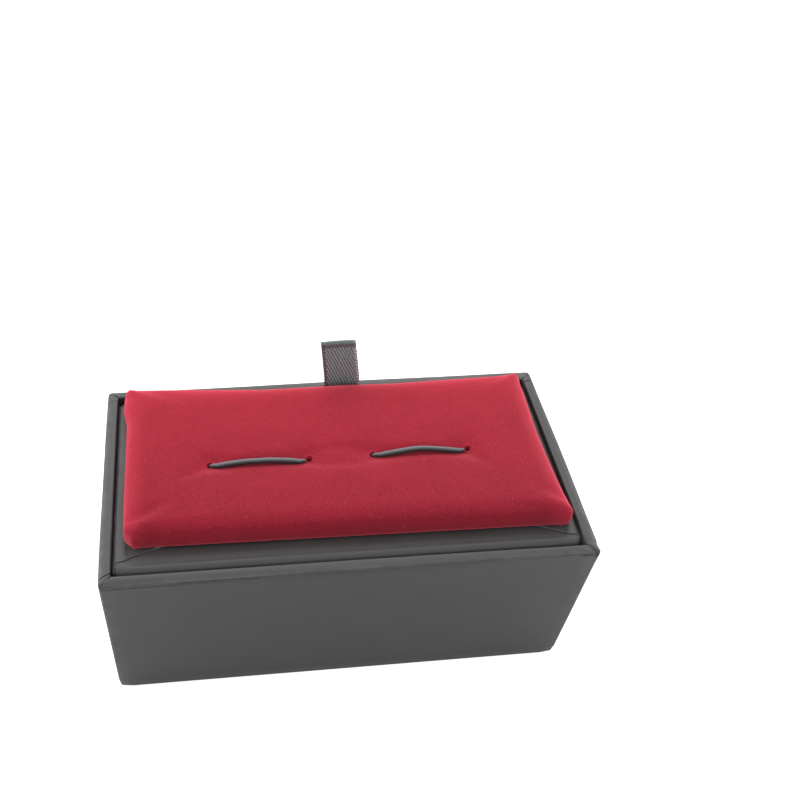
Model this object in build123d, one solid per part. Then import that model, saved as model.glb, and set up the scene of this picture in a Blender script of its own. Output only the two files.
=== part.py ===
from build123d import *
import os
from math import cos, radians, sin

# A cufflink box: a stiff covered casing, open at the top, and a shallow covered
# drawer block that lifts out of it by a ribbon. The drawer carries a velvet pad with
# two elastic loops for the cufflinks. Millimetres, +Z up, the casing's length along X
# and its front on -Y. The origin is the middle of the casing's underside.

# ---- casing ----
case_length = 86.0
case_width = 45.0
case_height = 35.5
case_board = 1.2            # greyboard of the walls and the bottom
paper = 0.25                # leatherette paper on every covered face
case_corner_round = 0.4     # paper drawn round the upright corners
case_rim_round = 0.35       # and over the outer edge of the rim
turn_under = 8.0            # paper folded under the bottom board
base_sheet_margin = 1.5     # the base sheet stops short of the outer edges
stay_leg = 9.0              # paper tape that holds two boards at a corner
stay_thickness = 0.15
ledge_board = 1.5           # lining boards that the drawer rests on

# ---- drawer ----
drawer_gap = 0.4            # all round, between drawer and casing
drawer_recess = 0.7         # drawer's top below the casing's rim
drawer_height = 14.0
drawer_board = 1.5
drawer_corner_round = 1.4   # upright corners
drawer_edge_round = 1.2     # top edges, where the paper turns in
turn_in = 8.0               # paper folded over the drawer's top board

# ---- velvet pad on the drawer ----
front_strip = 4.6           # drawer's covered top left bare in front of the pad
side_strip = 1.6            # the same at each end
pad_corner_round = 2.4
velvet = 0.5
pad_board_thickness = 1.5
pad_tuck = 0.25             # how far the velvet draws in where it meets the drawer
pad_tuck_height = 0.8
pad_edge_run = 2.0          # soft top edge, measured inwards
pad_edge_rise = 2.5         # the same edge, measured upwards
pad_crown = 0.4             # rise of the middle above that edge
pad_crown_flat = 6.7        # width of the level strip along the pad's middle

# ---- elastic loops ----
elastic = 1.25              # diameter of the braided cord
loop_span = 17.8            # between the two holes of a loop
loop_offset = 14.8          # loop's middle from the middle of the pair
loop_pair_offset = -0.5     # middle of the pair from the pad's middle
loop_setback = 14.8         # loops behind the pad's front edge
loop_entry_height = 0.45    # cord's centre above the velvet beside its holes
loop_peak_height = 1.0      # the same at the top of its arch
loop_flat = 9.0             # level stretch at the top of the arch
loop_end_bend = 1.2
loop_top_bend = 28.0
hole_clearance = 0.22       # round the cord in its holes
dimple_radius = 2.4
dimple_depth = 1.0
barb_length = 5.0           # flat steel bars across the cord's ends
barb_width = 1.4
barb_thickness = 0.6
pocket_clearance = 0.05     # what is pressed into the pad's board

# ---- pull ribbon ----
ribbon_width = 7.0
ribbon_ply = 0.3
ribbon_void = 0.4           # between the two plies of the loop
ribbon_clearance = 0.1      # to the pad in front and the drawer's edge behind
ribbon_offset = 2.5         # middle of the ribbon from the middle of the box
ribbon_tail_length = 8.0    # glued under the pad
ribbon_rise = 9.9           # loop above the line where it folds
ribbon_lean = 1.5           # the loop's top stands this far to the left
fold_height = 4.65          # folding line above the drawer's top
fold_clearance = 0.06

# ---- places that follow from the sizes above ----
wall = paper + case_board + paper
board_length = case_length - 2 * paper
board_width = case_width - 2 * paper
board_base = 2 * paper
board_top = case_height - paper
bottom_board_top = board_base + case_board
floor_top = bottom_board_top + paper
inner_length = case_length - 2 * wall
inner_width = case_width - 2 * wall

drawer_length = inner_length - 2 * drawer_gap
drawer_width = inner_width - 2 * drawer_gap
drawer_top = case_height - drawer_recess
drawer_base = drawer_top - drawer_height
core_length = drawer_length - 2 * paper
core_width = drawer_width - 2 * paper
core_round = drawer_corner_round - paper
core_base = drawer_base + paper
core_top = drawer_top - paper
side_base = core_base + drawer_board
side_top = core_top - drawer_board

ribbon_loop_thickness = 2 * ribbon_ply + ribbon_void
ribbon_y = drawer_width / 2 - ribbon_clearance - ribbon_loop_thickness / 2
fold_z = drawer_top + fold_height

pad_length = drawer_length - 2 * side_strip
pad_front = -drawer_width / 2 + front_strip
pad_back = ribbon_y - ribbon_loop_thickness / 2 - ribbon_clearance
pad_width = pad_back - pad_front
pad_y = (pad_back + pad_front) / 2
pad_side_height = velvet + pad_board_thickness
pad_height = pad_side_height + pad_edge_rise + pad_crown
pad_crown_run = (pad_width - pad_crown_flat) / 2 - pad_edge_run
pad_top = drawer_top + pad_height

loop_y = pad_front + loop_setback
hole_radius = elastic / 2 + hole_clearance
loop_middles = [loop_pair_offset - loop_offset, loop_pair_offset + loop_offset]
hole_places = [
    middle + end * loop_span / 2 for middle in loop_middles for end in (-1, 1)
]


# ---- shapes used by several pieces ----
def block(x_low, x_high, y_low, y_high, z_low, z_high):
    """A square-edged box between two corners."""
    middle = ((x_low + x_high) / 2, (y_low + y_high) / 2, (z_low + z_high) / 2)
    return Pos(*middle) * Box(x_high - x_low, y_high - y_low, z_high - z_low)


def centred(length, width, z_low, z_high):
    """A square-edged box over the origin."""
    return block(-length / 2, length / 2, -width / 2, width / 2, z_low, z_high)


def rounded(length, width, corner, z_low, z_high):
    """A box over the origin with round upright corners."""
    outline = Pos(0, 0, z_low) * RectangleRounded(length, width, corner)
    return extrude(outline, amount=z_high - z_low)


def corner_stays(outer, inner, length, width, z_low, z_high):
    """Tape round the four upright corners, between two outlines of a board box."""
    tape = outer - inner
    corners = []
    for side_x in (-1, 1):
        for side_y in (-1, 1):
            middle = (
                side_x * (length - stay_leg) / 2,
                side_y * (width - stay_leg) / 2,
                (z_low + z_high) / 2,
            )
            keep = Pos(*middle) * Box(stay_leg, stay_leg, z_high - z_low)
            corners.append(tape & keep)
    return corners


def joined(pieces):
    """Several separate solids as one piece."""
    return Compound(children=[solid for piece in pieces for solid in piece.solids()])


def four_walls(envelope, length, width, board, z_low, z_high):
    """Front, back, left and right boards: the ends stand between the long ones."""
    half_length = length / 2
    half_width = width / 2
    inside_width = half_width - board
    walls = {
        "front": block(-half_length, half_length, -half_width, -inside_width, z_low, z_high),
        "back": block(-half_length, half_length, inside_width, half_width, z_low, z_high),
        "left": block(
            -half_length, -half_length + board, -inside_width, inside_width, z_low, z_high
        ),
        "right": block(
            half_length - board, half_length, -inside_width, inside_width, z_low, z_high
        ),
    }
    return {side: envelope & wall_board for side, wall_board in walls.items()}


# ---- casing pieces ----
def make_case_stays():
    outer = centred(board_length, board_width, board_base, board_top)
    inner = centred(
        board_length - 2 * stay_thickness,
        board_width - 2 * stay_thickness,
        board_base,
        board_top,
    )
    return corner_stays(outer, inner, board_length, board_width, board_base, board_top)


def make_case_boards(stays):
    """Greyboard walls, let in where the corner tape is pressed into them."""
    envelope = centred(board_length, board_width, board_base, board_top)
    walls = four_walls(
        envelope, board_length, board_width, case_board, board_base, board_top
    )
    boards = {}
    for side, wall_board in walls.items():
        for stay in stays:
            wall_board = wall_board - stay
        boards["case_" + side + "_board"] = wall_board
    boards["case_bottom_board"] = centred(
        board_length - 2 * case_board,
        board_width - 2 * case_board,
        board_base,
        bottom_board_top,
    )
    return boards


def make_case_wrap():
    """Paper outside, over the rim, down inside to the floor and under the bottom."""
    cover = rounded(case_length, case_width, case_corner_round, paper, case_height)
    rim = cover.faces().sort_by(Axis.Z)[-1].edges()
    cover = fillet(rim, case_rim_round)
    walls_outside = centred(board_length, board_width, board_base, board_top)
    walls_inside = centred(
        inner_length + 2 * paper, inner_width + 2 * paper, board_base, board_top
    )
    bottom = centred(
        board_length - 2 * case_board,
        board_width - 2 * case_board,
        board_base,
        bottom_board_top,
    )
    mouth = centred(inner_length, inner_width, bottom_board_top, case_height)
    bare_bottom = centred(
        case_length - 2 * turn_under, case_width - 2 * turn_under, paper, board_base
    )
    return cover - (walls_outside - walls_inside) - bottom - mouth - bare_bottom


def make_case_sheets():
    """Sheet pasted under the bottom, which the box stands on, and the floor's lining."""
    return {
        "case_base_sheet": centred(
            case_length - 2 * base_sheet_margin, case_width - 2 * base_sheet_margin, 0, paper
        ),
        "case_floor_lining": centred(inner_length, inner_width, bottom_board_top, floor_top),
    }


def make_ledges():
    """Boards that line the casing's lower part and stop the drawer at the rim."""
    envelope = centred(inner_length, inner_width, floor_top, drawer_base)
    ledges = four_walls(
        envelope, inner_length, inner_width, ledge_board, floor_top, drawer_base
    )
    return {"case_ledge_" + side: ledge for side, ledge in ledges.items()}


# ---- drawer pieces ----
def drawer_core():
    """All that the drawer's paper goes round, as one shape."""
    core = rounded(core_length, core_width, core_round, core_base, core_top)
    top_edges = core.faces().sort_by(Axis.Z)[-1].edges()
    return fillet(top_edges, drawer_edge_round - paper)


def make_drawer_stays():
    outer = rounded(core_length, core_width, core_round, side_base, side_top)
    inner = rounded(
        core_length - 2 * stay_thickness,
        core_width - 2 * stay_thickness,
        core_round - stay_thickness,
        side_base,
        side_top,
    )
    return corner_stays(outer, inner, core_length, core_width, side_base, side_top)


def make_drawer_boards(stays):
    core = drawer_core()
    walls = four_walls(core, core_length, core_width, drawer_board, side_base, side_top)
    boards = {}
    for side, wall_board in walls.items():
        for stay in stays:
            wall_board = wall_board - stay
        boards["drawer_" + side + "_board"] = wall_board
    boards["drawer_face_board"] = core & centred(
        core_length, core_width, core_base, side_base
    )
    boards["drawer_platform_board"] = core & centred(
        core_length, core_width, side_top, core_top
    )
    return boards


def make_drawer_wrap():
    """Paper over the face and the sides, turned in over the edge of the top board."""
    cover = rounded(
        drawer_length, drawer_width, drawer_corner_round, drawer_base, drawer_top
    )
    top_edges = cover.faces().sort_by(Axis.Z)[-1].edges()
    cover = fillet(top_edges, drawer_edge_round)
    bare_top = centred(
        drawer_length - 2 * turn_in, drawer_width - 2 * turn_in, core_top, drawer_top
    )
    return cover - drawer_core() - bare_top


# ---- velvet pad ----
def pad_section(inset, height):
    """The pad's outline, drawn in by an inset, at a height above the drawer's top."""
    outline = RectangleRounded(
        pad_length - 2 * inset, pad_width - 2 * inset, pad_corner_round
    )
    return Pos(0, pad_y, drawer_top + height) * outline


def pad_crown_sections(skin):
    """Outlines up the soft edge, a quarter of an ellipse, and on up the crown, an arc
    that ends level, all a skin's thickness inside the pad."""
    sections = []
    for angle in range(0, 90, 15):
        inset = skin + (pad_edge_run - skin) * (1 - cos(radians(angle)))
        height = pad_side_height + (pad_edge_rise - skin) * sin(radians(angle))
        sections.append(pad_section(inset, height))
    for share in (0, 0.35, 0.7, 1):
        inset = pad_edge_run + pad_crown_run * share
        height = pad_side_height + pad_edge_rise - skin + pad_crown * (2 - share) * share
        sections.append(pad_section(inset, height))
    return sections


def dimple_cutters(skin):
    """Hollows that the cord pulls round its holes, with the holes below them."""
    bowl_radius = (dimple_radius**2 + dimple_depth**2) / (2 * dimple_depth)
    bowl_middle = pad_top - skin - dimple_depth + bowl_radius
    cutters = []
    for place in hole_places:
        hole = Cylinder(
            radius=hole_radius,
            height=pad_height,
            align=(Align.CENTER, Align.CENTER, Align.MIN),
        )
        cutters.append(Pos(place, loop_y, bowl_middle) * Sphere(bowl_radius))
        cutters.append(Pos(place, loop_y, drawer_top) * hole)
    return cutters


def without(piece, cutters):
    for cutter in cutters:
        piece = piece - cutter
    return piece


def ribbon_passage():
    """Room for the glued tail between the drawer's top and the pad's board."""
    return block(
        ribbon_offset - ribbon_width / 2 - pocket_clearance,
        ribbon_offset + ribbon_width / 2 + pocket_clearance,
        ribbon_y - ribbon_tail_length - pocket_clearance,
        pad_back,
        drawer_top,
        drawer_top + 2 * ribbon_ply + pocket_clearance,
    )


def barb_pockets():
    pockets = []
    for place in hole_places:
        middle = (place, loop_y, drawer_top + (barb_thickness + pocket_clearance) / 2)
        room = Box(
            barb_width + 2 * pocket_clearance,
            barb_length + 2 * pocket_clearance,
            barb_thickness + pocket_clearance,
        )
        pockets.append(Pos(*middle) * room)
    return pockets


def make_pad():
    inside = extrude(pad_section(velvet, velvet), amount=pad_board_thickness)
    foam = loft(pad_crown_sections(velvet), ruled=True)
    board = without(inside, dimple_cutters(velvet) + barb_pockets() + [ribbon_passage()])
    foam_cut = without(foam, dimple_cutters(velvet))

    cover = loft(
        [pad_section(pad_tuck, 0), pad_section(0, pad_tuck_height)]
        + pad_crown_sections(0),
        ruled=True,
    )
    cover = without(cover, dimple_cutters(0))
    bare_underside = extrude(pad_section(turn_in, 0), amount=velvet)
    cover = cover - inside - foam_cut - bare_underside - ribbon_passage()
    return {"pad_board": board, "pad_foam": foam_cut, "pad_velvet": cover}


# ---- elastic loops ----
def make_elastic_loop(middle):
    """One cord: up through its first hole, over in a low arch, down the second."""
    half_span = loop_span / 2
    entry = pad_top + loop_entry_height
    peak = pad_top + loop_peak_height
    foot = drawer_top + barb_thickness
    points = [
        (middle - half_span, loop_y, foot),
        (middle - half_span, loop_y, entry),
        (middle - loop_flat / 2, loop_y, peak),
        (middle + loop_flat / 2, loop_y, peak),
        (middle + half_span, loop_y, entry),
        (middle + half_span, loop_y, foot),
    ]
    bends = [loop_end_bend, loop_top_bend, loop_top_bend, loop_end_bend]
    route = FilletPolyline(*points, radius=bends)
    section = Pos(*points[0]) * Circle(elastic / 2)
    return sweep(section, path=route)


def make_barbs():
    """Flat steel bars that keep the cords' ends under the pad's board."""
    bars = []
    for place in hole_places:
        outline = Rot(0, 0, 90) * SlotOverall(barb_length, barb_width)
        bars.append(extrude(Pos(place, loop_y, drawer_top) * outline, amount=barb_thickness))
    return joined(bars)


# ---- pull ribbon ----
def make_ribbon_tail():
    """Both ends of the ribbon, glued under the pad and standing up behind it."""
    left = ribbon_offset - ribbon_width / 2
    right = ribbon_offset + ribbon_width / 2
    tail_back = ribbon_y + ribbon_ply
    tail = block(
        left,
        right,
        ribbon_y - ribbon_tail_length,
        tail_back,
        drawer_top,
        drawer_top + 2 * ribbon_ply,
    )
    stub_top = fold_z - ribbon_loop_thickness / 2 - fold_clearance
    stub = block(left, right, ribbon_y - ribbon_ply, tail_back, drawer_top, stub_top)
    bent = tail + stub
    heel = bent.edges().filter_by(Axis.X).sort_by_distance((0, tail_back, drawer_top))[0]
    return fillet(heel, ribbon_ply)


def make_pull_ribbon():
    """The folded loop: two plies, joined at the fold above and pinched together below."""
    half = ribbon_loop_thickness / 2
    height = ribbon_rise + half
    side_view = Plane.YZ.offset(ribbon_offset - ribbon_width)
    middle = (ribbon_y, fold_z - half + height / 2)
    outside = Rot(0, 0, 90) * SlotOverall(height, ribbon_loop_thickness)
    inside = Rot(0, 0, 90) * SlotOverall(height - 2 * ribbon_ply, ribbon_void)
    band = side_view * (Pos(*middle) * (outside - inside))
    band = extrude(band, amount=2 * ribbon_width)
    bottom = fold_z - half
    top = bottom + height
    left = ribbon_offset - ribbon_width / 2
    right = ribbon_offset + ribbon_width / 2
    leaning = Polyline(
        (left, bottom),
        (right, bottom),
        (right - ribbon_lean, top),
        (left - ribbon_lean, top),
        close=True,
    )
    front_view = Plane.XZ.offset(-ribbon_y - ribbon_loop_thickness)
    trim = extrude(front_view * make_face(leaning), amount=2 * ribbon_loop_thickness)
    return band & trim


# ---- the whole box ----
def make_all():
    case_stays = make_case_stays()
    drawer_stays = make_drawer_stays()
    pieces = {
        "case_wrap": make_case_wrap(),
        "case_corner_stays": joined(case_stays),
        "drawer_wrap": make_drawer_wrap(),
        "drawer_corner_stays": joined(drawer_stays),
        "elastic_loop_left": make_elastic_loop(loop_middles[0]),
        "elastic_loop_right": make_elastic_loop(loop_middles[1]),
        "elastic_barbs": make_barbs(),
        "ribbon_tail": make_ribbon_tail(),
        "pull_ribbon": make_pull_ribbon(),
    }
    pieces.update(make_case_boards(case_stays))
    pieces.update(make_case_sheets())
    pieces.update(make_ledges())
    pieces.update(make_drawer_boards(drawer_stays))
    pieces.update(make_pad())
    return pieces


os.makedirs("parts", exist_ok=True)
for node, piece in make_all().items():
    export_step(piece, "parts/" + node + ".step")
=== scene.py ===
from math import asin, cos, hypot, pi, radians, sin

import bmesh
import bpy
from mathutils import Matrix, Vector, noise


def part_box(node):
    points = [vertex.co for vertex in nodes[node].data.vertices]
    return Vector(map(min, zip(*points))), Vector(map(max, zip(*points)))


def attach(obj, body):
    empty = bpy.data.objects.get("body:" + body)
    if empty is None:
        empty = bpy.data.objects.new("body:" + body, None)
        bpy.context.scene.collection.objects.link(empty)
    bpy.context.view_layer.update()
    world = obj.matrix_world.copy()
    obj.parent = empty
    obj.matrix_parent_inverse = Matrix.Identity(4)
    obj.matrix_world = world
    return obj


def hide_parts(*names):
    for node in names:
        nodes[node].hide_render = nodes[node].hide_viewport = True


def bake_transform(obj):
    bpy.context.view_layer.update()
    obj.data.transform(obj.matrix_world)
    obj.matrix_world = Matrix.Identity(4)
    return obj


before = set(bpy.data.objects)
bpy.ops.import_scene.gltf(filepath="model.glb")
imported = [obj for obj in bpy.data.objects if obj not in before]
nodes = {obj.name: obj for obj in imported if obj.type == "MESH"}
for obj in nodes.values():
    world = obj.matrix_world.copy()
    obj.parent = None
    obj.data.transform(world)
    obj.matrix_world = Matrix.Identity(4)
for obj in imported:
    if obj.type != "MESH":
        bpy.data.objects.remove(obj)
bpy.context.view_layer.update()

scene = bpy.context.scene
scene.view_settings.view_transform = "Standard"
mm = 0.001


# ---- The view ----
# A hand camera a little to the left of the box and well above its front, tipped
# slightly to one side. The box stands left of the middle of the square picture.
picture_pixels = 800
focal_pixels = 908.47
pixels_left_of_middle = 90

view_camera = bpy.data.cameras.new("view_camera")
view_camera.sensor_width = 36
view_camera.lens = focal_pixels / picture_pixels * view_camera.sensor_width
view_camera.shift_x = pixels_left_of_middle / picture_pixels
view_camera.clip_start = 5 * mm
viewer = bpy.data.objects.new("view_camera", view_camera)
scene.collection.objects.link(viewer)
viewer.matrix_world = (
    Matrix.Translation(Vector((-23.74, -107.00, 165.15)) * mm)
    @ Matrix.Rotation(radians(-9.23), 4, "Z")
    @ Matrix.Rotation(radians(90 - 45.77), 4, "X")
    @ Matrix.Rotation(radians(3.89), 4, "Z")
)
scene.camera = viewer


# ---- Greyboard walls of the casing and the drawer ----
# Recycled grey packing board, die-cut and glued edge to edge, 1.2 mm thick in the casing
# and 1.5 mm in the drawer. It is all under paper, and shows only in the pieces laid apart.
def linear(colour):
    """A colour written as sRGB hex, in the linear values a shader takes."""
    shares = [int(colour[place : place + 2], 16) / 255 for place in (1, 3, 5)]
    return [
        share / 12.92 if share <= 0.04045 else ((share + 0.055) / 1.055) ** 2.4
        for share in shares
    ] + [1.0]


def add_node(tree, kind, options, inputs, output=None):
    """Adds a node, sets its options, sets or links its inputs, and gives one output."""
    node = tree.nodes.new(kind)
    for name, value in options.items():
        setattr(node, name, value)
    for name, value in inputs.items():
        place = next(s for s in node.inputs if s.enabled and s.name == name)
        if isinstance(value, bpy.types.NodeSocket):
            tree.links.new(value, place)
        else:
            place.default_value = value
    found = [s for s in node.outputs if s.enabled and output in (None, s.name)]
    return found[0] if found else None


def new_material(name):
    """An empty material, and its node tree."""
    material = bpy.data.materials.new(name)
    material.use_nodes = True
    material.node_tree.nodes.clear()
    return material, material.node_tree


def dress(names, material):
    """Gives CAD nodes a material."""
    for name in names:
        nodes[name].data.materials.clear()
        nodes[name].data.materials.append(material)


def make_piece(name, form, material, sharp_over=40):
    """A finished shape as an object at the origin, smooth but for its sharp edges."""
    mesh = bpy.data.meshes.new(name)
    form.to_mesh(mesh)
    form.free()
    mesh.materials.append(material)
    mesh.shade_smooth()
    mesh.set_sharp_from_angle(angle=radians(sharp_over))
    piece = bpy.data.objects.new(name, mesh)
    scene.collection.objects.link(piece)
    return piece


def merged_copy(name):
    """A CAD piece's mesh as a new form, with its loose triangles joined up."""
    form = bmesh.new()
    form.from_mesh(nodes[name].data)
    bmesh.ops.remove_doubles(form, verts=form.verts[:], dist=0.001 * mm)
    return form


# Half the length and width over the casing's boards, what counts as near their outer
# faces, and how far their edges are rubbed down, their corners rubbed and crushed and
# the front one set back, all in mm.
boards_low, boards_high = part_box("case_front_board")
boards_half_length = round(boards_high.x / mm, 3)
boards_half_width = round(-boards_low.y / mm, 3)
near_edge = 0.3
edge_rub, corner_rub, corner_crush, front_set_in = 0.4, 0.9, 0.4, 0.45


def redraw_worn(name, material):
    """A CAD piece of the casing's walls, with its rubbed upper edge and crushed corners."""
    form = merged_copy(name)
    for corner in form.verts:
        x, y, z = corner.co / mm
        gap_x, gap_y = boards_half_length - abs(x), boards_half_width - abs(y)
        at_corner = max(gap_x, gap_y) < near_edge
        if z > 35 and min(gap_x, gap_y) < near_edge:
            corner.co.z -= (corner_rub if at_corner else edge_rub) * mm
        if z < 0.8 and at_corner:
            inwards = Vector((-1 if x > 0 else 1, -1 if y > 0 else 1, 1))
            corner.co += inwards * corner_crush * mm
        if name == "case_front_board" and gap_y < 0.2:
            corner.co.y += front_set_in * mm
    piece = make_piece(name + "_worn", form, material, 30)
    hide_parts(name)
    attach(piece, "casing")
    return piece


# Pulped waste paper gives a dull warm grey with darker and lighter flecks and a
# slightly felted surface.
grey_board, tree = new_material("recycled_grey_board")
place = add_node(tree, "ShaderNodeTexCoord", {}, {}, "Object")
flecks = add_node(
    tree,
    "ShaderNodeTexNoise",
    {},
    {"Vector": place, "Scale": 1 / (0.6 * mm), "Detail": 3.0, "Roughness": 0.7},
)
fleck_share = add_node(
    tree,
    "ShaderNodeMapRange",
    {},
    {"Value": flecks, "From Min": 0.35, "From Max": 0.65},
)
clouds = add_node(
    tree, "ShaderNodeTexNoise", {}, {"Vector": place, "Scale": 1 / (7 * mm)}
)
fleck_colour = add_node(
    tree,
    "ShaderNodeMix",
    {"data_type": "RGBA"},
    {"Factor": fleck_share, "A": linear("#7f7a70"), "B": linear("#a29c90")},
)
board_colour = add_node(
    tree,
    "ShaderNodeMix",
    {"data_type": "RGBA", "blend_type": "MULTIPLY"},
    {"Factor": clouds, "A": fleck_colour, "B": linear("#e8e2d8")},
)
felted = add_node(
    tree,
    "ShaderNodeBump",
    {},
    {"Height": flecks, "Strength": 0.5, "Distance": 0.05 * mm},
)
shader = add_node(
    tree,
    "ShaderNodeBsdfPrincipled",
    {},
    {"Base Color": board_colour, "Roughness": 0.92, "Normal": felted},
)
add_node(tree, "ShaderNodeOutputMaterial", {}, {"Surface": shader})
dress([name for name in nodes if name.endswith("_board")], grey_board)
for side in ("front", "back", "left", "right"):
    redraw_worn("case_" + side + "_board", grey_board)

# The drawer's top board is rubbed down along its front edge, under the paper. The fall
# starts at this place from the middle, has this run, and drops this far, all in mm.
fall_start, fall_run, fall_depth = -18.3, 2.1, 0.65
form = merged_copy("drawer_platform_board")
for corner in form.verts:
    past = (fall_start - corner.co.y / mm) / fall_run
    if past > 0 and corner.co.z > 33.3 * mm:
        corner.co += Vector((0, 0.2 * past, -0.12 - fall_depth * past * past)) * mm
platform = make_piece("drawer_platform_board_worn", form, grey_board, 30)
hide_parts("drawer_platform_board")
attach(platform, "drawer")


# ---- Corner stays ----
# Strips of gummed brown paper tape wetted and rubbed down round the four upright
# corners of each board box. They hold the walls until the cover paper is on.
gummed_tape, tree = new_material("gummed_kraft_tape")
place = add_node(tree, "ShaderNodeTexCoord", {}, {}, "Object")
# Kraft paper's long fibres run along the strip and leave faint darker streaks.
stretched = add_node(
    tree, "ShaderNodeMapping", {}, {"Vector": place, "Scale": (1.0, 1.0, 0.12)}
)
fibres = add_node(
    tree,
    "ShaderNodeTexNoise",
    {},
    {"Vector": stretched, "Scale": 1 / (0.25 * mm), "Detail": 4.0},
)
tape_colour = add_node(
    tree,
    "ShaderNodeMix",
    {"data_type": "RGBA"},
    {"Factor": fibres, "A": linear("#9a7442"), "B": linear("#c9a878")},
)
creased = add_node(
    tree,
    "ShaderNodeBump",
    {},
    {"Height": fibres, "Strength": 0.4, "Distance": 0.03 * mm},
)
shader = add_node(
    tree,
    "ShaderNodeBsdfPrincipled",
    {},
    {"Base Color": tape_colour, "Roughness": 0.7, "Normal": creased},
)
add_node(tree, "ShaderNodeOutputMaterial", {}, {"Surface": shader})
dress(["case_corner_stays", "drawer_corner_stays"], gummed_tape)
redraw_worn("case_corner_stays", gummed_tape)


# ---- Casing cover ----
# One sheet of leatherette paper, glued round the casing's outside, folded over the rim
# with mitred corners, down inside to the floor, and turned in under the bottom.
case_low, case_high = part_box("case_wrap")
case_length = case_high.x - case_low.x
case_width = case_high.y - case_low.y
rim_top = case_high.z
paper = 0.25 * mm
case_corner = 0.45 * mm
turned_under = 8 * mm


def start_sheet(length, width, corner, height, keep_face):
    """A sheet's first outline: a rectangle with round corners and many short runs."""
    form = bmesh.new()
    bmesh.ops.create_grid(form, x_segments=1, y_segments=1, size=0.5)
    bmesh.ops.scale(form, vec=(length, width, 1), verts=form.verts[:])
    bmesh.ops.translate(form, vec=(0, 0, height), verts=form.verts[:])
    bmesh.ops.bevel(
        form,
        geom=form.verts[:],
        offset=corner,
        offset_type="OFFSET",
        segments=6,
        profile=0.5,
        affect="VERTICES",
        material=-1,
    )
    for along, cuts in ((0, 43), (1, 22)):
        runs = [
            edge
            for edge in form.edges
            if edge.is_boundary
            and abs(edge.verts[0].co[along] - edge.verts[1].co[along]) > 4 * corner
        ]
        bmesh.ops.subdivide_edges(form, edges=runs, cuts=cuts)
    outline = [edge for edge in form.edges if edge.is_boundary]
    if not keep_face:
        bmesh.ops.delete(form, geom=form.faces[:], context="FACES_KEEP_BOUNDARY")
    return form, outline


def grow(form, run):
    """Draws a new run of edges out of the last one, and gives its corners and the run."""
    grown = bmesh.ops.extrude_edge_only(form, edges=run)["geom"]
    corners = [item for item in grown if isinstance(item, bmesh.types.BMVert)]
    fresh = set(corners)
    new_run = [
        item
        for item in grown
        if isinstance(item, bmesh.types.BMEdge) and fresh.issuperset(item.verts)
    ]
    return corners, new_run


def draw_sheet(form, run, length, width, profile):
    """Draws the sheet on, run by run, through a profile of insets and heights."""
    inset, height = profile[0]
    for next_inset, next_height in profile[1:]:
        corners, run = grow(form, run)
        size = (
            (length - 2 * next_inset) / (length - 2 * inset),
            (width - 2 * next_inset) / (width - 2 * inset),
            1,
        )
        bmesh.ops.scale(form, vec=size, verts=corners)
        bmesh.ops.translate(form, vec=(0, 0, next_height - height), verts=corners)
        inset, height = next_inset, next_height


def turn_outwards(form):
    """Faces of an open sheet turned so that its upright outer wall looks out."""
    bmesh.ops.recalc_face_normals(form, faces=form.faces[:])
    wall = min(form.faces, key=lambda face: face.calc_center_median().y)
    form.normal_update()
    if wall.normal.y > 0:
        bmesh.ops.reverse_faces(form, faces=form.faces[:])
    form.normal_update()


def press_seam(form, edges, width, depth):
    """Presses a narrow groove along edges, as where one fold of paper meets the next."""
    middle = {corner for edge in edges for corner in edge.verts}
    line = [(edge.verts[0].co.copy(), edge.verts[1].co.copy()) for edge in edges]
    made = bmesh.ops.bevel(
        form,
        geom=edges,
        offset=width / 2,
        offset_type="OFFSET",
        segments=2,
        profile=0.5,
        affect="EDGES",
        clamp_overlap=True,
        material=-1,
    )
    form.normal_update()
    for corner in made["verts"]:
        for start, end in line:
            run = end - start
            share = max(0, min(1, (corner.co - start).dot(run) / run.length_squared))
            if (corner.co - start - run * share).length < width * 0.15:
                corner.co -= corner.normal * depth
                break


def between(value, pairs):
    """A value read off a short list of places, with straight runs between them."""
    for (low, at_low), (high, at_high) in zip(pairs, pairs[1:]):
        if value <= high:
            share = max(0, (value - low) / (high - low))
            return at_low + (at_high - at_low) * share
    return pairs[-1][1]


def smooth_step(share):
    """A share from 0 to 1 that starts and ends gently."""
    return share * share * (3 - 2 * share)


# How far in from the outer face, and how high, the sheet runs, in mm. The rim is a soft
# round with a pressed crease under it, where the fold was rubbed down.
crease_height = 34.5
case_profile = [
    (turned_under / mm, 0.25), (0.6, 0.25), (0.16, 0.36), (0, 0.75), (0, 3), (0, 9),
    (0, 16), (0, 22), (0, 27), (0, 30), (0, 31), (0, 32), (0, 32.6), (0, 33.2), (0, 33.7),
    (0, 34.1), (0, 34.42), (0.13, crease_height), (0.01, 34.58), (0.0, 34.75),
    (0.03, 34.95), (0.12, 35.13), (0.27, 35.28), (0.48, 35.38), (0.75, 35.45),
    (1.05, 35.49), (1.35, 35.5), (1.55, 35.46), (1.65, 35.36), (1.7, 35.15), (1.7, 33),
    (1.7, 27), (1.7, 20), (1.7, 10), (1.7, 1.9),
]
case_profile = [(inset * mm, height * mm) for inset, height in case_profile]
cover, run = start_sheet(
    case_length - 2 * turned_under,
    case_width - 2 * turned_under,
    case_corner,
    case_profile[0][1],
    False,
)
draw_sheet(cover, run, case_length, case_width, case_profile)
turn_outwards(cover)

# The casing's half length and width, its height, and how far its bottom corners are
# crushed from standing on them, all in mm.
half_length = round(case_length / 2 / mm, 3)
half_width = round(case_width / 2 / mm, 3)
casing_height = round(rim_top / mm, 3)
crush_reach, crush_depth = 1.6, 0.35

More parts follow.
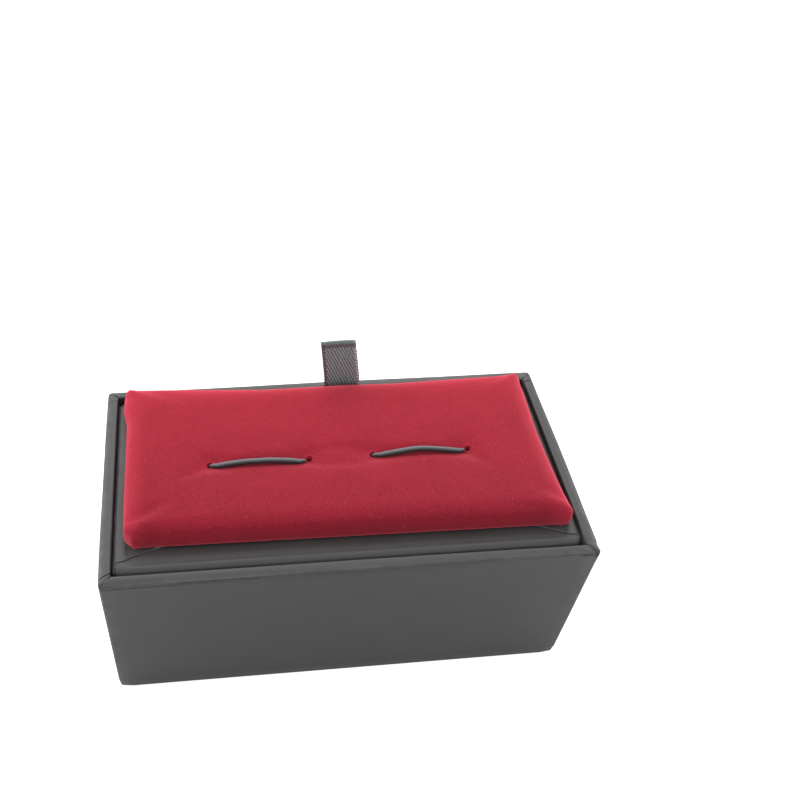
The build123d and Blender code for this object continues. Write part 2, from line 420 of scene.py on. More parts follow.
# Along the front the crease wanders up and down, the wall is set back a little under it,
# and the rim slopes outwards. Places along it are in mm from the middle, with the
# crease's depth, how far the wall is set back, how sharply the fold is creased, how far
# the paper inside stands off its board, and how far the back wall's top leans out.
front_crease = [
    (-43, 1.3), (-35, 1.2), (-23, 0.95), (-4, 0.62), (22, 0.5), (34, 0.6), (43, 0.9)
]
front_set_back = [(-43, 0.05), (-29, 0.15), (-20, 0.32), (2, 0.4), (22, 0.34), (43, 0.05)]
front_sharpness = [(-43, 1), (-27, 0.8), (-15, 0.3), (10, 0.2), (30, 0.3), (43, 0.6)]
front_stand_off = [(-43, 0.2), (0, 0.2), (25, 0.1), (43, 0.02)]
back_lean = [(-43, 0), (-15, 0.1), (20, 0.4), (38, 0.6), (43, 0.55)]
for corner in cover.verts:
    x, y, z = corner.co / mm
    out_x, out_y = half_length - abs(x), half_width - abs(y)
    edge_gap = min(out_x, out_y)
    at_front = y < -20.5 and out_y < out_x + 0.3
    if edge_gap < 1.65 and z > 32:
        depth = between(x, front_crease) if at_front else 0.85 + 0.2 * sin(x / 9 + y / 5)
        creased = rim_top / mm - depth
        heights = [(32, 32), (crease_height, creased), (rim_top / mm, rim_top / mm)]
        height = between(z, heights)
        corner.co.z = height * mm
        if at_front and 0.1 < edge_gap < 0.2 and z < 34.55:
            corner.co.y -= 0.13 * (1 - between(x, front_sharpness)) * mm
    else:
        height = z
    if at_front and edge_gap < 1.5 and z > 34.6:
        slope = 0.2 * (1 - edge_gap / 1.5) * min(1, out_x / 3)
        corner.co.z -= slope * mm
    if at_front and edge_gap < 0.3 and 16 < z < crease_height + 0.05:
        below = min(1, max(0, rim_top / mm - between(x, front_crease) - height) / 1.2)
        set_back = between(x, front_set_back) * smooth_step(below)
        corner.co.y += set_back * min(1, (z - 16) / 12) * mm
    if at_front and edge_gap > 1.3 and z > 27:
        corner.co.y += between(x, front_stand_off) * min(1, (z - 27) / 6) * mm
    if not at_front and edge_gap > 1.3 and z > 27:
        inwards = 0.1 * min(1, (z - 27) / 6) * mm
        if out_x < out_y:
            corner.co.x -= inwards if x > 0 else -inwards
        else:
            corner.co.y -= inwards
    if edge_gap < 0.9 and z > 0.5 and not at_front:
        height_share = sin(pi * min(1, z / 40)) ** 0.6
        if out_y < 0.9:
            corner.co.y += 0.15 * (1 - (x / half_length) ** 2) * height_share * mm
            if y > 0:
                corner.co.y += between(x, back_lean) * z / casing_height * mm
        else:
            bow = 0.22 * (1 - (y / half_width) ** 2) * height_share
            corner.co.x += (bow if x > 0 else -bow) * mm
    # Both end walls lean out a little, the right one most towards the front.
    if z > 0.5 and out_x < 1.5:
        lean = 0.2 if x < 0 else 0.33 + 0.15 * max(0, -y / half_width)
        lean *= (1 - max(0, out_x) / 1.5) * (z / casing_height)
        corner.co.x += (lean if x > 0 else -lean) * mm
    if max(out_x, out_y, z) < crush_reach:
        crush = (1 - out_x / crush_reach) * (1 - out_y / crush_reach) * (1 - z / crush_reach)
        crush *= crush_depth
        corner.co.x -= (crush if x > 0 else -crush) * mm
        corner.co.y -= (crush if y > 0 else -crush) * mm
        corner.co.z += crush * mm

# The folds meet on the rim in mitres, and at each end a tab of the long side's paper
# laps a little way along the short side. Each tab's seam is given by the corner it is
# at, with how far it lies from the middle, in mm, and its slant.
mitre_edges = [
    edge
    for edge in cover.edges
    if all(
        corner.co.z > rim_top - 0.8 * mm
        and abs(
            (half_length * mm - abs(corner.co.x)) - (half_width * mm - abs(corner.co.y))
        )
        < 0.1 * mm
        for corner in edge.verts
    )
]
press_seam(cover, mitre_edges, 0.26 * mm, 0.3 * mm)
tab_seams = {
    (-1, -1): (20.45, 0.6),
    (1, -1): (20.2, 0.05),
    (-1, 1): (19.8, -0.2),
    (1, 1): (20.1, 0.25),
}
for (side_x, side_y), (distance, slant) in tab_seams.items():
    near = []
    for face in cover.faces:
        middle = face.calc_center_median() / mm
        past_seam = middle.y * side_y - distance
        if (
            middle.x * side_x > 41.2
            and -1.4 < past_seam < 1.2
            and middle.z > rim_top / mm - 0.9
        ):
            near.append(face)
    across = Vector((-side_x * slant, side_y, 0)).normalized()
    point = Vector((side_x * 42, side_y * distance, 0)) * mm
    geometry = (
        near
        + list({edge for face in near for edge in face.edges})
        + list({corner for face in near for corner in face.verts})
    )
    cut = bmesh.ops.bisect_plane(
        cover, geom=geometry, dist=1e-6, plane_co=point, plane_no=across
    )["geom_cut"]
    edges = [
        item
        for item in cut
        if isinstance(item, bmesh.types.BMEdge)
        and all(abs((c.co - point).dot(across)) < 1e-5 for c in item.verts)
    ]
    press_seam(cover, edges, 0.24 * mm, 0.26 * mm)

# The front right corner is rubbed open: the mitre gapes towards the outside.
gape_reach, gape_depth = 2.1, 0.6
for corner in cover.verts:
    x, y, z = corner.co / mm
    off_line = (x - half_length) + (y + half_width)
    out = hypot(x - half_length, y + half_width)
    if z > rim_top / mm - 1.1 and out < gape_reach and abs(off_line) < 0.3:
        corner.co.z -= gape_depth * (1 - out / gape_reach) * mm

# Polyurethane-coated paper embossed with a faint grain: a soft satin grey-black that
# turns pale and dull where edges are rubbed, with a few dust specks in the grain.
grain_size = 0.4 * mm
leatherette, tree = new_material("leatherette_paper")
place = add_node(tree, "ShaderNodeTexCoord", {}, {}, "Object")
clouds = add_node(
    tree,
    "ShaderNodeTexNoise",
    {},
    {"Vector": place, "Scale": 1 / (17 * mm), "Detail": 3.0, "Roughness": 0.6},
)
tone = add_node(
    tree,
    "ShaderNodeMix",
    {"data_type": "RGBA"},
    {"Factor": clouds, "A": linear("#383838"), "B": linear("#434343")},
)
worn = add_node(tree, "ShaderNodeAttribute", {"attribute_name": "worn"}, {}, "Fac")
rubbing = add_node(
    tree,
    "ShaderNodeTexNoise",
    {},
    {"Vector": place, "Scale": 1 / (2.6 * mm), "Detail": 3.0, "Roughness": 0.5},
)
rubbed = add_node(
    tree,
    "ShaderNodeMapRange",
    {},
    {"Value": rubbing, "From Min": 0.35, "From Max": 0.75, "To Max": 0.3},
)
rubbed_edge = add_node(
    tree, "ShaderNodeMath", {"operation": "MULTIPLY"}, {"Value": worn}
)
tree.links.new(rubbed, rubbed_edge.node.inputs[1])
worn_tone = add_node(
    tree,
    "ShaderNodeMix",
    {"data_type": "RGBA"},
    {"Factor": rubbed_edge, "A": tone, "B": linear("#8d8e8f")},
)
# Painted shade: under the rim's fold along the front the paper is painted darker, where
# the overhanging fold shades the wall.
crease_shade = add_node(tree, "ShaderNodeAttribute", {"attribute_name": "crease_shade"}, {}, "Fac")
crease_shaded_tone = add_node(
    tree,
    "ShaderNodeMix",
    {"data_type": "RGBA"},
    {"Factor": crease_shade, "A": worn_tone, "B": linear("#1a1a1a")},
)
speck_cells = add_node(
    tree,
    "ShaderNodeTexVoronoi",
    {},
    {"Vector": place, "Scale": 1 / (8 * mm)},
    "Distance",
)
# Each cell's own random number makes its speck larger, smaller or none.
speck_chance = add_node(
    tree, "ShaderNodeSeparateColor", {}, {"Color": speck_cells.node.outputs["Color"]}, "Red"
)
speck_size = add_node(
    tree,
    "ShaderNodeMapRange",
    {},
    {"Value": speck_chance, "From Min": 0.4, "From Max": 1.0, "To Min": 0.0, "To Max": 0.03},
)
specks = add_node(
    tree,
    "ShaderNodeMapRange",
    {"interpolation_type": "SMOOTHSTEP"},
    {"Value": speck_cells, "From Min": 0.0, "From Max": speck_size, "To Min": 0.3, "To Max": 0.0},
)
paper_colour = add_node(
    tree,
    "ShaderNodeMix",
    {"data_type": "RGBA"},
    {"Factor": specks, "A": crease_shaded_tone, "B": linear("#b9bab8")},
)
grain = add_node(
    tree,
    "ShaderNodeTexVoronoi",
    {"feature": "SMOOTH_F1"},
    {"Vector": place, "Scale": 1 / grain_size},
    "Distance",
)
ripples = add_node(
    tree,
    "ShaderNodeTexNoise",
    {},
    {"Vector": place, "Scale": 1 / (8 * mm), "Detail": 1.5},
)
rippled = add_node(
    tree,
    "ShaderNodeBump",
    {},
    {"Height": ripples, "Strength": 0.35, "Distance": 0.35 * mm},
)
grained = add_node(
    tree,
    "ShaderNodeBump",
    {},
    {"Height": grain, "Strength": 0.3, "Distance": 0.02 * mm, "Normal": rippled},
)
dullness = add_node(
    tree,
    "ShaderNodeMapRange",
    {},
    {"Value": clouds, "From Min": 0.3, "From Max": 0.7, "To Min": 0.44, "To Max": 0.54},
)
shader = add_node(
    tree,
    "ShaderNodeBsdfPrincipled",
    {},
    {"Base Color": paper_colour, "Roughness": dullness, "IOR": 1.5, "Normal": grained},
)
add_node(tree, "ShaderNodeOutputMaterial", {}, {"Surface": shader})


def mark_wear(form, length, width, top):
    """Marks how near each point is to the edges that hands and shelves rub."""
    layer = form.verts.layers.float.new("worn")
    for corner in form.verts:
        out_x = length / 2 - abs(corner.co.x)
        out_y = width / 2 - abs(corner.co.y)
        edge_gaps = sorted((max(0, out_x), max(0, out_y), max(0, top - corner.co.z)))
        reach = hypot(edge_gaps[0], edge_gaps[1]) / (0.9 * mm)
        corner[layer] = max(0, 1 - reach)


def give_thickness(piece, thickness):
    """Makes a sheet as thick as its stuff, inwards from its outer face."""
    solid = piece.modifiers.new("thickness", "SOLIDIFY")
    solid.thickness = thickness
    solid.offset = -1
    return solid


mark_wear(cover, case_length, case_width, rim_top)
# How far down the front the painted shade under the crease reaches, in mm, from left
# to right.
crease_shade_reach = [
    (-43, 0.5), (-34, 0.8), (-20, 1.7), (0, 2.4), (22, 1.8), (34, 1.2), (43, 0.6)
]
# Painted shade: darkest just under the front crease, fading downwards.
layer = cover.verts.layers.float.new("crease_shade")
for corner in cover.verts:
    x, y, z = corner.co / mm
    below = rim_top / mm - between(x, front_crease) - z
    if y < -21.6 and z > 28:
        faded = max(0, 1 - max(0, below) / between(x, crease_shade_reach))
        corner[layer] = 0.75 * faded * min(1, max(0, below + 0.1) / 0.15)
case_cover = make_piece("case_cover_paper", cover, leatherette, 50)
give_thickness(case_cover, paper)
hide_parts("case_wrap")
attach(case_cover, "casing")


# ---- Base sheet and floor lining ----
# Two plain sheets of black lining paper: one pasted under the bottom over the turned-in
# cover, and one on the casing's floor inside.
lining_paper, tree = new_material("black_lining_paper")
place = add_node(tree, "ShaderNodeTexCoord", {}, {}, "Object")
# Uncoated paper dyed in the pulp: flat black, faintly cloudy, with a fine tooth.
pulp = add_node(
    tree,
    "ShaderNodeTexNoise",
    {},
    {"Vector": place, "Scale": 1 / (2.5 * mm), "Detail": 5.0, "Roughness": 0.7},
)
lining_colour = add_node(
    tree,
    "ShaderNodeMix",
    {"data_type": "RGBA"},
    {"Factor": pulp, "A": linear("#232324"), "B": linear("#37373a")},
)
tooth = add_node(
    tree,
    "ShaderNodeTexNoise",
    {},
    {"Vector": place, "Scale": 1 / (0.12 * mm), "Detail": 2.0},
)
toothed = add_node(
    tree,
    "ShaderNodeBump",
    {},
    {"Height": tooth, "Strength": 0.35, "Distance": 0.02 * mm},
)
shader = add_node(
    tree,
    "ShaderNodeBsdfPrincipled",
    {},
    {"Base Color": lining_colour, "Roughness": 0.85, "Normal": toothed},
)
add_node(tree, "ShaderNodeOutputMaterial", {}, {"Surface": shader})
dress(["case_base_sheet", "case_floor_lining"], lining_paper)


# ---- Ledges ----
# Four strips of black-faced board glued to the walls inside. The drawer stops on their
# upper edges, and the space between them is room for the cufflinks.
ledge_board, tree = new_material("black_faced_board")
place = add_node(tree, "ShaderNodeTexCoord", {}, {}, "Object")
# The black facing is calendered smooth, with faint streaks from the board mill.
streaks = add_node(
    tree, "ShaderNodeMapping", {}, {"Vector": place, "Scale": (0.15, 0.15, 1.0)}
)
milling = add_node(
    tree,
    "ShaderNodeTexNoise",
    {},
    {"Vector": streaks, "Scale": 1 / (0.8 * mm), "Detail": 4.0},
)
ledge_colour = add_node(
    tree,
    "ShaderNodeMix",
    {"data_type": "RGBA"},
    {"Factor": milling, "A": linear("#28282a"), "B": linear("#3b3b3d")},
)
ledge_dullness = add_node(
    tree,
    "ShaderNodeMapRange",
    {},
    {"Value": milling, "To Min": 0.55, "To Max": 0.75},
)
milled = add_node(
    tree,
    "ShaderNodeBump",
    {},
    {"Height": milling, "Strength": 0.25, "Distance": 0.03 * mm},
)
shader = add_node(
    tree,
    "ShaderNodeBsdfPrincipled",
    {},
    {"Base Color": ledge_colour, "Roughness": ledge_dullness, "Normal": milled},
)
add_node(tree, "ShaderNodeOutputMaterial", {}, {"Surface": shader})
dress(["case_ledge_" + side for side in ("front", "back", "left", "right")], ledge_board)


# ---- Drawer cover ----
# The same leatherette paper drawn over the drawer's plain face and its sides, and
# turned in over the top edge. The ends' flaps lie over the long sides' and are cut in a
# curve at the corners, which shows as a seam beside the pad.
drawer_low, drawer_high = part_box("drawer_wrap")
drawer_length = drawer_high.x - drawer_low.x
drawer_width = drawer_high.y - drawer_low.y
drawer_corner = 1.4 * mm
drawer_edge = 1.5 * mm
face_edge = 0.6 * mm

drawer_profile = [
    (face_edge * (1 - sin(angle)), drawer_low.z + face_edge * (1 - cos(angle)))
    for angle in (radians(step) for step in (0, 22.5, 45, 67.5, 90))
]
drawer_profile += [(0, height * mm) for height in (24, 28, 31.5)]
drawer_profile += [
    (
        drawer_edge * (1 - cos(angle)),
        drawer_high.z - drawer_edge * (1 - sin(angle)),
    )
    for angle in (radians(step) for step in (0, 15, 30, 45, 60, 75, 90))
]
# Behind the rounded edge the turned-in paper steps down beside the pad.
drawer_profile += [
    (inset * mm, drawer_high.z - step * mm)
    for inset, step in (
        (1.8, 0.02), (2.1, 0.09), (2.4, 0.15), (2.8, 0.17), (3.8, 0.18), (4.8, 0.18), (8, 0.18)
    )
]
cover, run = start_sheet(
    drawer_length - 2 * face_edge,
    drawer_width - 2 * face_edge,
    drawer_corner,
    drawer_low.z,
    True,
)
draw_sheet(cover, run, drawer_length, drawer_width, drawer_profile)
turn_outwards(cover)

# The ends' flaps lie on the long sides' ones. Each long side's flap shows only within
# the planes along its seams, given as a point on the seam, in mm, and the way across it.
flap_lift = 0.2 * mm
flap_seams = {
    -1: [
        ((-40.3, -19.4), (-0.99, 0.16)), ((-39.95, -18.2), (-0.93, 0.37)),
        ((-39.4, -17.6), (-0.59, 0.81)), ((-38.1, -16.85), (-0.43, 0.9)),
        ((-36, -16.05), (-0.31, 0.95)), ((40.5, -19.5), (1, 0)),
        ((40.2, -18.55), (0.77, 0.64)), ((38.6, -17.67), (0.39, 0.92)),
    ],
    1: [
        ((-40.5, 19.2), (-1, 0)), ((-39.7, 18.7), (-0.7, -0.71)),
        ((40.5, 19.2), (1, 0)), ((39.7, 18.7), (0.7, -0.71)),
    ],
}
end_flaps = bmesh.ops.duplicate(
    cover,
    geom=[
        face
        for face in cover.faces
        if abs(face.calc_center_median().x) > 31 * mm
        and face.calc_center_median().z > drawer_high.z - drawer_edge * 1.4
    ],
)["geom"]
seam_planes = {
    side: [(Vector((*point, 0)) * mm, Vector((*across, 0))) for point, across in seams]
    for side, seams in flap_seams.items()
}
for point, across in seam_planes[-1] + seam_planes[1]:
    end_flaps = bmesh.ops.bisect_plane(
        cover,
        geom=[item for item in end_flaps if item.is_valid],
        dist=1e-7,
        plane_co=point,
        plane_no=across,
    )["geom"]


def under_end_flap(face):
    """Whether a piece of the end flap lies where the long side's flap shows."""
    middle = face.calc_center_median()
    side = 1 if middle.y > 0 else -1
    return all((middle - point).dot(across) < 0 for point, across in seam_planes[side])


end_faces = [item for item in end_flaps if isinstance(item, bmesh.types.BMFace)]
showing = [face for face in end_faces if under_end_flap(face)]
kept_corners = {c for face in end_faces if face not in showing for c in face.verts}
bmesh.ops.delete(cover, geom=showing, context="FACES")
cover.normal_update()
for corner in kept_corners:
    rise = (corner.co.z - (drawer_high.z - drawer_edge)) / drawer_edge
    corner.co += corner.normal * flap_lift * (min(1, max(0, rise)) ** 0.5 * 1.3 - 0.3)
# The ends stand a hair fuller than the board inside, and their edges are less round. The
# front edge slopes away towards the rim.
for corner in cover.verts:
    gap = drawer_high.x - abs(corner.co.x)
    gap_y = drawer_high.y - abs(corner.co.y)
    side = 1 if corner.co.x > 0 else -1
    if gap < drawer_edge and corner.co.z > drawer_high.z - drawer_edge * 1.1:
        flattening = 0.55 * min(1, max(0, (gap_y - gap) / drawer_edge))
        corner.co.z += (drawer_high.z - corner.co.z) * flattening
        corner.co.x = side * (drawer_high.x - gap * 0.4)
    if gap < 0.5 * mm and corner.co.z > 22 * mm:
        corner.co.x += side * 0.2 * mm
    if corner.co.y < fall_start * mm and corner.co.z > drawer_high.z - drawer_edge * 1.1:
        corner.co.z -= fall_depth * ((fall_start - corner.co.y / mm) / fall_run) ** 2 * mm
mark_wear(cover, drawer_length, drawer_width, drawer_high.z)
drawer_cover = make_piece("drawer_cover_paper", cover, leatherette, 50)
drawer_cover.data.materials.append(lining_paper)
give_thickness(drawer_cover, paper).material_offset_rim = 1
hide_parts("drawer_wrap")
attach(drawer_cover, "drawer")


# ---- Velvet pad ----
# Short-pile velvet pulled over a sheet of foam on a board, turned under and glued. The
# two elastics draw it in at their four holes, and it swells softly between them.
pad_low, pad_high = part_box("pad_velvet")
pad_side_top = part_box("pad_board")[1].z
pad_middle = (pad_low + pad_high) / 2
velvet_thickness = 0.5 * mm
loop_spots = {"left": (-15.2 * mm, -1.0 * mm), "right": (14.6 * mm, -0.55 * mm)}
hole_reach = 8.55 * mm
holes = [
    Vector((middle + side * hole_reach, across, 0))
    for middle, across in loop_spots.values()
    for side in (-1, 1)
]
cloth_scale = 10

form = bmesh.new()
bmesh.ops.create_cube(form, size=1)
bmesh.ops.scale(
    form,
    vec=(
        pad_high.x - pad_low.x - 0.1 * mm,
        pad_high.y - pad_low.y - 0.1 * mm,
        pad_high.z - pad_low.z - 0.3 * mm,
    ),
    verts=form.verts[:],
)
bmesh.ops.translate(
    form,
    vec=pad_middle - Vector((0, 0, 0.15 * mm)),
    verts=form.verts[:],
)
# The velvet is folded differently at each corner: how far the fold reaches, in mm, and
# how many faces go round it.
corner_folds = {(-1, -1): (1.5, 1), (1, -1): (0.9, 3), (-1, 1): (0.7, 2), (1, 1): (0.8, 3)}
for (side_x, side_y), (reach, steps) in corner_folds.items():
    upright = [
        edge
        for edge in form.edges
        if all(
            (c.co.x - pad_middle.x) * side_x > 37 * mm
            and (c.co.y - pad_middle.y) * side_y > 15 * mm
            for c in edge.verts
        )
        and abs(edge.verts[0].co.z - edge.verts[1].co.z) > 2 * mm
    ]
    bmesh.ops.bevel(
        form,
        geom=upright,
        offset=reach * mm,
        offset_type="OFFSET",
        segments=steps,
        profile=0.5,
        affect="EDGES",
        material=-1,
    )
top_run = [
    edge
    for edge in form.edges
    if all(c.co.z > pad_middle.z for c in edge.verts) and len(edge.link_faces) == 2
    and any(abs(face.normal.z) < 0.5 for face in edge.link_faces)
]
bmesh.ops.bevel(
    form,
    geom=top_run,
    offset=1.8 * mm,
    offset_type="OFFSET",
    segments=5,
    profile=0.5,
    affect="EDGES",
    material=-1,
)
bmesh.ops.scale(form, vec=(cloth_scale,) * 3, verts=form.verts[:])
rough_mesh = bpy.data.meshes.new("pad_rough")
form.to_mesh(rough_mesh)
form.free()
rough_pad = bpy.data.objects.new("pad_rough", rough_mesh)
scene.collection.objects.link(rough_pad)
remesh = rough_pad.modifiers.new("even_cells", "REMESH")
remesh.mode = "VOXEL"
remesh.voxel_size = 0.52 * mm * cloth_scale
velvet_mesh = bpy.data.meshes.new_from_object(
    rough_pad.evaluated_get(bpy.context.evaluated_depsgraph_get())
)
bpy.data.objects.remove(rough_pad)


def hole_distance(point):
    """How far a point lies from the nearest of the four holes, in plan."""
    return min(hypot(point.x - hole.x, point.y - hole.y) for hole in holes)


def loop_distance(point):
    """How far a point lies from the nearest elastic, in plan."""
    return min(
        hypot(max(0, abs(point.x - middle) - hole_reach), point.y - across)
        for middle, across in loop_spots.values()
    )


# Before it swells, the top is drawn down round the holes and along under the elastics.
held = []
for corner in velvet_mesh.vertices:
    point = corner.co / cloth_scale
    if point.z > pad_middle.z:
        if hole_distance(point) < 0.8 * mm:
            held.append(corner.index)
        pull = max(0, 1 - hole_distance(point) / (3.6 * mm)) ** 2 * 0.45 * mm
        near_loop = max(0, 1 - loop_distance(point) / (8.0 * mm))
        press = smooth_step(near_loop) * 0.28 * mm
        corner.co.z -= (pull + press) * cloth_scale
    if point.z < pad_side_top - 0.5 * mm:
        held.append(corner.index)

velvet_pad = bpy.data.objects.new("velvet_pad_cover", velvet_mesh)
scene.collection.objects.link(velvet_pad)
start_places = [corner.co.copy() for corner in velvet_mesh.vertices]
velvet_pad.vertex_groups.new(name="held").add(held, 1.0, "REPLACE")
cloth = velvet_pad.modifiers.new("swelling", "CLOTH")
cloth.settings.use_pressure = True
cloth.settings.uniform_pressure_force = 2
cloth.settings.effector_weights.gravity = 0
cloth.settings.vertex_group_mass = "held"
cloth.settings.quality = 5
cloth.settings.tension_stiffness = 20
cloth.settings.compression_stiffness = 20
cloth.settings.bending_stiffness = 2
cloth.point_cache.frame_start = 1
cloth.point_cache.frame_end = 20
for step in range(1, 21):
    scene.frame_set(step)
swollen = velvet_pad.evaluated_get(bpy.context.evaluated_depsgraph_get())
most = 0.3 * mm * cloth_scale
places = [corner.co.copy() for corner in swollen.data.vertices]
velvet_pad.modifiers.remove(cloth)
for corner, before, after in zip(velvet_mesh.vertices, start_places, places):
    move = after - before
    if move.length > most:
        move = move * (most / move.length)
    corner.co = before + move
scene.frame_set(1)

form = bmesh.new()
form.from_mesh(velvet_mesh)
bmesh.ops.scale(form, vec=(1 / cloth_scale,) * 3, verts=form.verts[:])
for _ in range(4):
    bmesh.ops.smooth_vert(
        form,
        verts=[
            c
            for c in form.verts
            if (hole_distance(c.co) > 1.5 * mm or c.co.z < pad_side_top)
            and (abs(c.co.x) < 37 * mm or abs(c.co.y - pad_middle.y) < 15.2 * mm)
        ],
        factor=0.5,
        use_axis_x=True,
        use_axis_y=True,
        use_axis_z=True,
    )


# How far the cut pad's sides and back edge stand out or in, along each edge, in mm.
right_outline = [
    (-16, 1.0), (-14, 0.5), (-11.5, 0.35), (-9, 0.13), (-6.5, -0.05), (-2, -0.24),
    (3, -0.32), (6, -0.33), (9, -0.15), (14, 0.08), (19, 0.15),
]
left_outline = [(-16, -0.17), (11, -0.17), (14.5, 0.5), (17, 0.5), (19, 0.3)]
back_outline = [
    (-39, 1.1), (-28, 0.55), (-20, 0), (-13, -0.45), (3, -0.2), (13, -0.4), (24, 0),
    (34, 0.35), (39, 0.85),
]


def set_askew(form):
    """The pad was cut and glued a little askew: its front edge runs out to the right,
    and its right side, back edge and full corners follow the hand-cut board."""
    for corner in form.verts:
        x, y, _ = corner.co / mm
        half_depth = (pad_high.y - pad_low.y) / 2
        back_share = (corner.co.y - pad_middle.y) / half_depth
        end_share = (corner.co.x / pad_high.x) ** 3
        if back_share < 0:
            corner.co.y -= back_share * (0.2 - 0.011 * x) * mm
        else:
            corner.co.y += back_share * between(x, back_outline) * mm
        if x > 0:
            corner.co.x += end_share * between(y, right_outline) * mm
        else:
            corner.co.x += end_share * between(y, left_outline) * mm


set_askew(form)
foam_form = form.copy()

# Round the holes the cloth is finer, so that it can dip into them and fray.
for reach in (3.4 * mm, 2.0 * mm):
    near = [
        edge
        for edge in form.edges
        if all(hole_distance(c.co) < reach and c.co.z > pad_side_top for c in edge.verts)
    ]
    bmesh.ops.subdivide_edges(form, edges=near, cuts=1, use_grid_fill=True, smooth=0.6)
bmesh.ops.triangulate(form, faces=[face for face in form.faces if len(face.verts) > 4])
puncture = 0.5 * mm
for number, place_of_hole in enumerate(holes):
    # Where the cord goes in at its right end the hole is drawn open beyond it.
    right_end = number % 2 == 1
    open_x = place_of_hole.x + (0.8 if right_end else -0.15) * mm
    open_y = place_of_hole.y + (0.3 if right_end else 0.05) * mm
    for corner in form.verts:
        if corner.co.z < pad_side_top + 0.2 * mm:
            continue
        away = hypot(corner.co.x - open_x, corner.co.y - open_y)
        away *= 1 + 0.25 * noise.noise(corner.co / (0.5 * mm))
        if away < puncture * 2.2:
            sink = max(0, 1 - away / (puncture * 1.15)) ** 0.5
            lip = max(0, 1 - abs(away - puncture * 1.5) / (puncture * 0.6))
            corner.co.z += (lip * 0.12 - sink * 1.9) * mm

# Underneath, the turned-in velvet leaves the board bare in the middle.
underside = [
    face
    for face in form.faces
    if face.calc_center_median().z < pad_low.z + 0.3 * mm
    and abs(face.calc_center_median().x) < pad_high.x - 7 * mm
    and abs(face.calc_center_median().y - pad_middle.y) < (pad_high.y - pad_low.y) / 2 - 7 * mm
]
bmesh.ops.delete(form, geom=underside, context="FACES")
form.to_mesh(velvet_mesh)
form.free()

# Cotton-backed nylon velvet: a deep red that goes pale at grazing angles, cloudy where
# the pile leans different ways, with fine lint caught in it. Its colour is painted
# lighter towards the back: painted light from the lamp behind.
velvet, tree = new_material("red_velvet")
place = add_node(tree, "ShaderNodeTexCoord", {}, {}, "Object")
lean = add_node(
    tree,
    "ShaderNodeTexNoise",
    {},
    {"Vector": place, "Scale": 1 / (7 * mm), "Detail": 4.0, "Roughness": 0.62, "Distortion": 0.6},
)
depth = add_node(tree, "ShaderNodeSeparateXYZ", {}, {"Vector": place}, "Y")
# Painted light: this share grows towards the back and is added to the pile's lean, so the velvet
# is painted lighter where the lamp behind lights it.
painted_back_light = add_node(
    tree,
    "ShaderNodeMapRange",
    {},
    {"Value": depth, "From Min": pad_low.y, "From Max": pad_high.y, "To Max": 0.8},
)
lean_and_back_light = add_node(tree, "ShaderNodeMath", {"operation": "ADD"}, {"Value": lean})
tree.links.new(painted_back_light, lean_and_back_light.node.inputs[1])
lean_and_back_light_share = add_node(
    tree,
    "ShaderNodeMapRange",
    {},
    {"Value": lean_and_back_light, "From Min": 0.4, "From Max": 1.4},
)
pile_colour = add_node(
    tree,
    "ShaderNodeMix",
    {"data_type": "RGBA"},
    {"Factor": lean_and_back_light_share, "A": linear("#751020"), "B": linear("#9b192a")},
)
# Single tufts are under 0.1 mm, and are drawn at 0.3 mm so that they show at all.
tufts = add_node(
    tree,
    "ShaderNodeTexNoise",
    {},
    {"Vector": place, "Scale": 1 / (0.3 * mm), "Detail": 3.0, "Roughness": 0.75},
)
tuft_share = add_node(
    tree,
    "ShaderNodeMapRange",
    {},
    {"Value": tufts, "From Min": 0.33, "From Max": 0.7, "To Min": 0.0, "To Max": 0.65},
)
tufted = add_node(
    tree,
    "ShaderNodeMix",
    {"data_type": "RGBA"},
    {"Factor": tuft_share, "A": pile_colour, "B": linear("#b02a3c")},
)
lint_cells = add_node(
    tree,
    "ShaderNodeTexVoronoi",
    {},
    {"Vector": place, "Scale": 1 / (1.5 * mm)},
    "Distance",
)
lint = add_node(
    tree,
    "ShaderNodeMapRange",
    {},
    {"Value": lint_cells, "From Min": 0.03, "From Max": 0.12, "To Min": 0.22, "To Max": 0.0},
)
velvet_colour = add_node(
    tree,
    "ShaderNodeMix",
    {"data_type": "RGBA"},
    {"Factor": lint, "A": tufted, "B": linear("#d8737c")},
)
# Painted sheen: seen at a grazing angle, the colour is painted a brighter red.
grazing = add_node(tree, "ShaderNodeLayerWeight", {}, {"Blend": 0.5}, "Facing")
painted_grazing_sheen = add_node(
    tree,
    "ShaderNodeMapRange",
    {"interpolation_type": "SMOOTHSTEP"},
    {"Value": grazing, "From Min": 0.4, "From Max": 0.95, "To Min": 0.0, "To Max": 0.6},
)
# Painted light: towards the ends and along the back the colour is painted brighter red
# too, where the lamps at the sides and behind light the edges.
off_middle = add_node(
    tree, "ShaderNodeMath", {"operation": "ABSOLUTE"}, {"Value": depth.node.outputs["X"]}
)
end_painted_light = add_node(
    tree,
    "ShaderNodeMapRange",
    {"interpolation_type": "SMOOTHSTEP"},
    {"Value": off_middle, "From Min": 34.5 * mm, "From Max": 39.8 * mm, "To Max": 0.34},
)
back_painted_light = add_node(
    tree,
    "ShaderNodeMapRange",
    {"interpolation_type": "SMOOTHSTEP"},
    {"Value": depth, "From Min": 12.5 * mm, "From Max": 19.5 * mm, "To Max": 0.26},
)
painted_edge_light = add_node(
    tree, "ShaderNodeMath", {"operation": "MAXIMUM"}, {"Value": end_painted_light}
)
tree.links.new(back_painted_light, painted_edge_light.node.inputs[1])
painted_sheen_and_edge_light = add_node(tree, "ShaderNodeMath", {"operation": "ADD"}, {"Value": painted_grazing_sheen})
tree.links.new(painted_edge_light, painted_sheen_and_edge_light.node.inputs[1])
painted_light_colour = add_node(
    tree,
    "ShaderNodeMix",
    {"data_type": "RGBA"},
    {"Factor": painted_sheen_and_edge_light, "A": velvet_colour, "B": linear("#e03a50")},
)
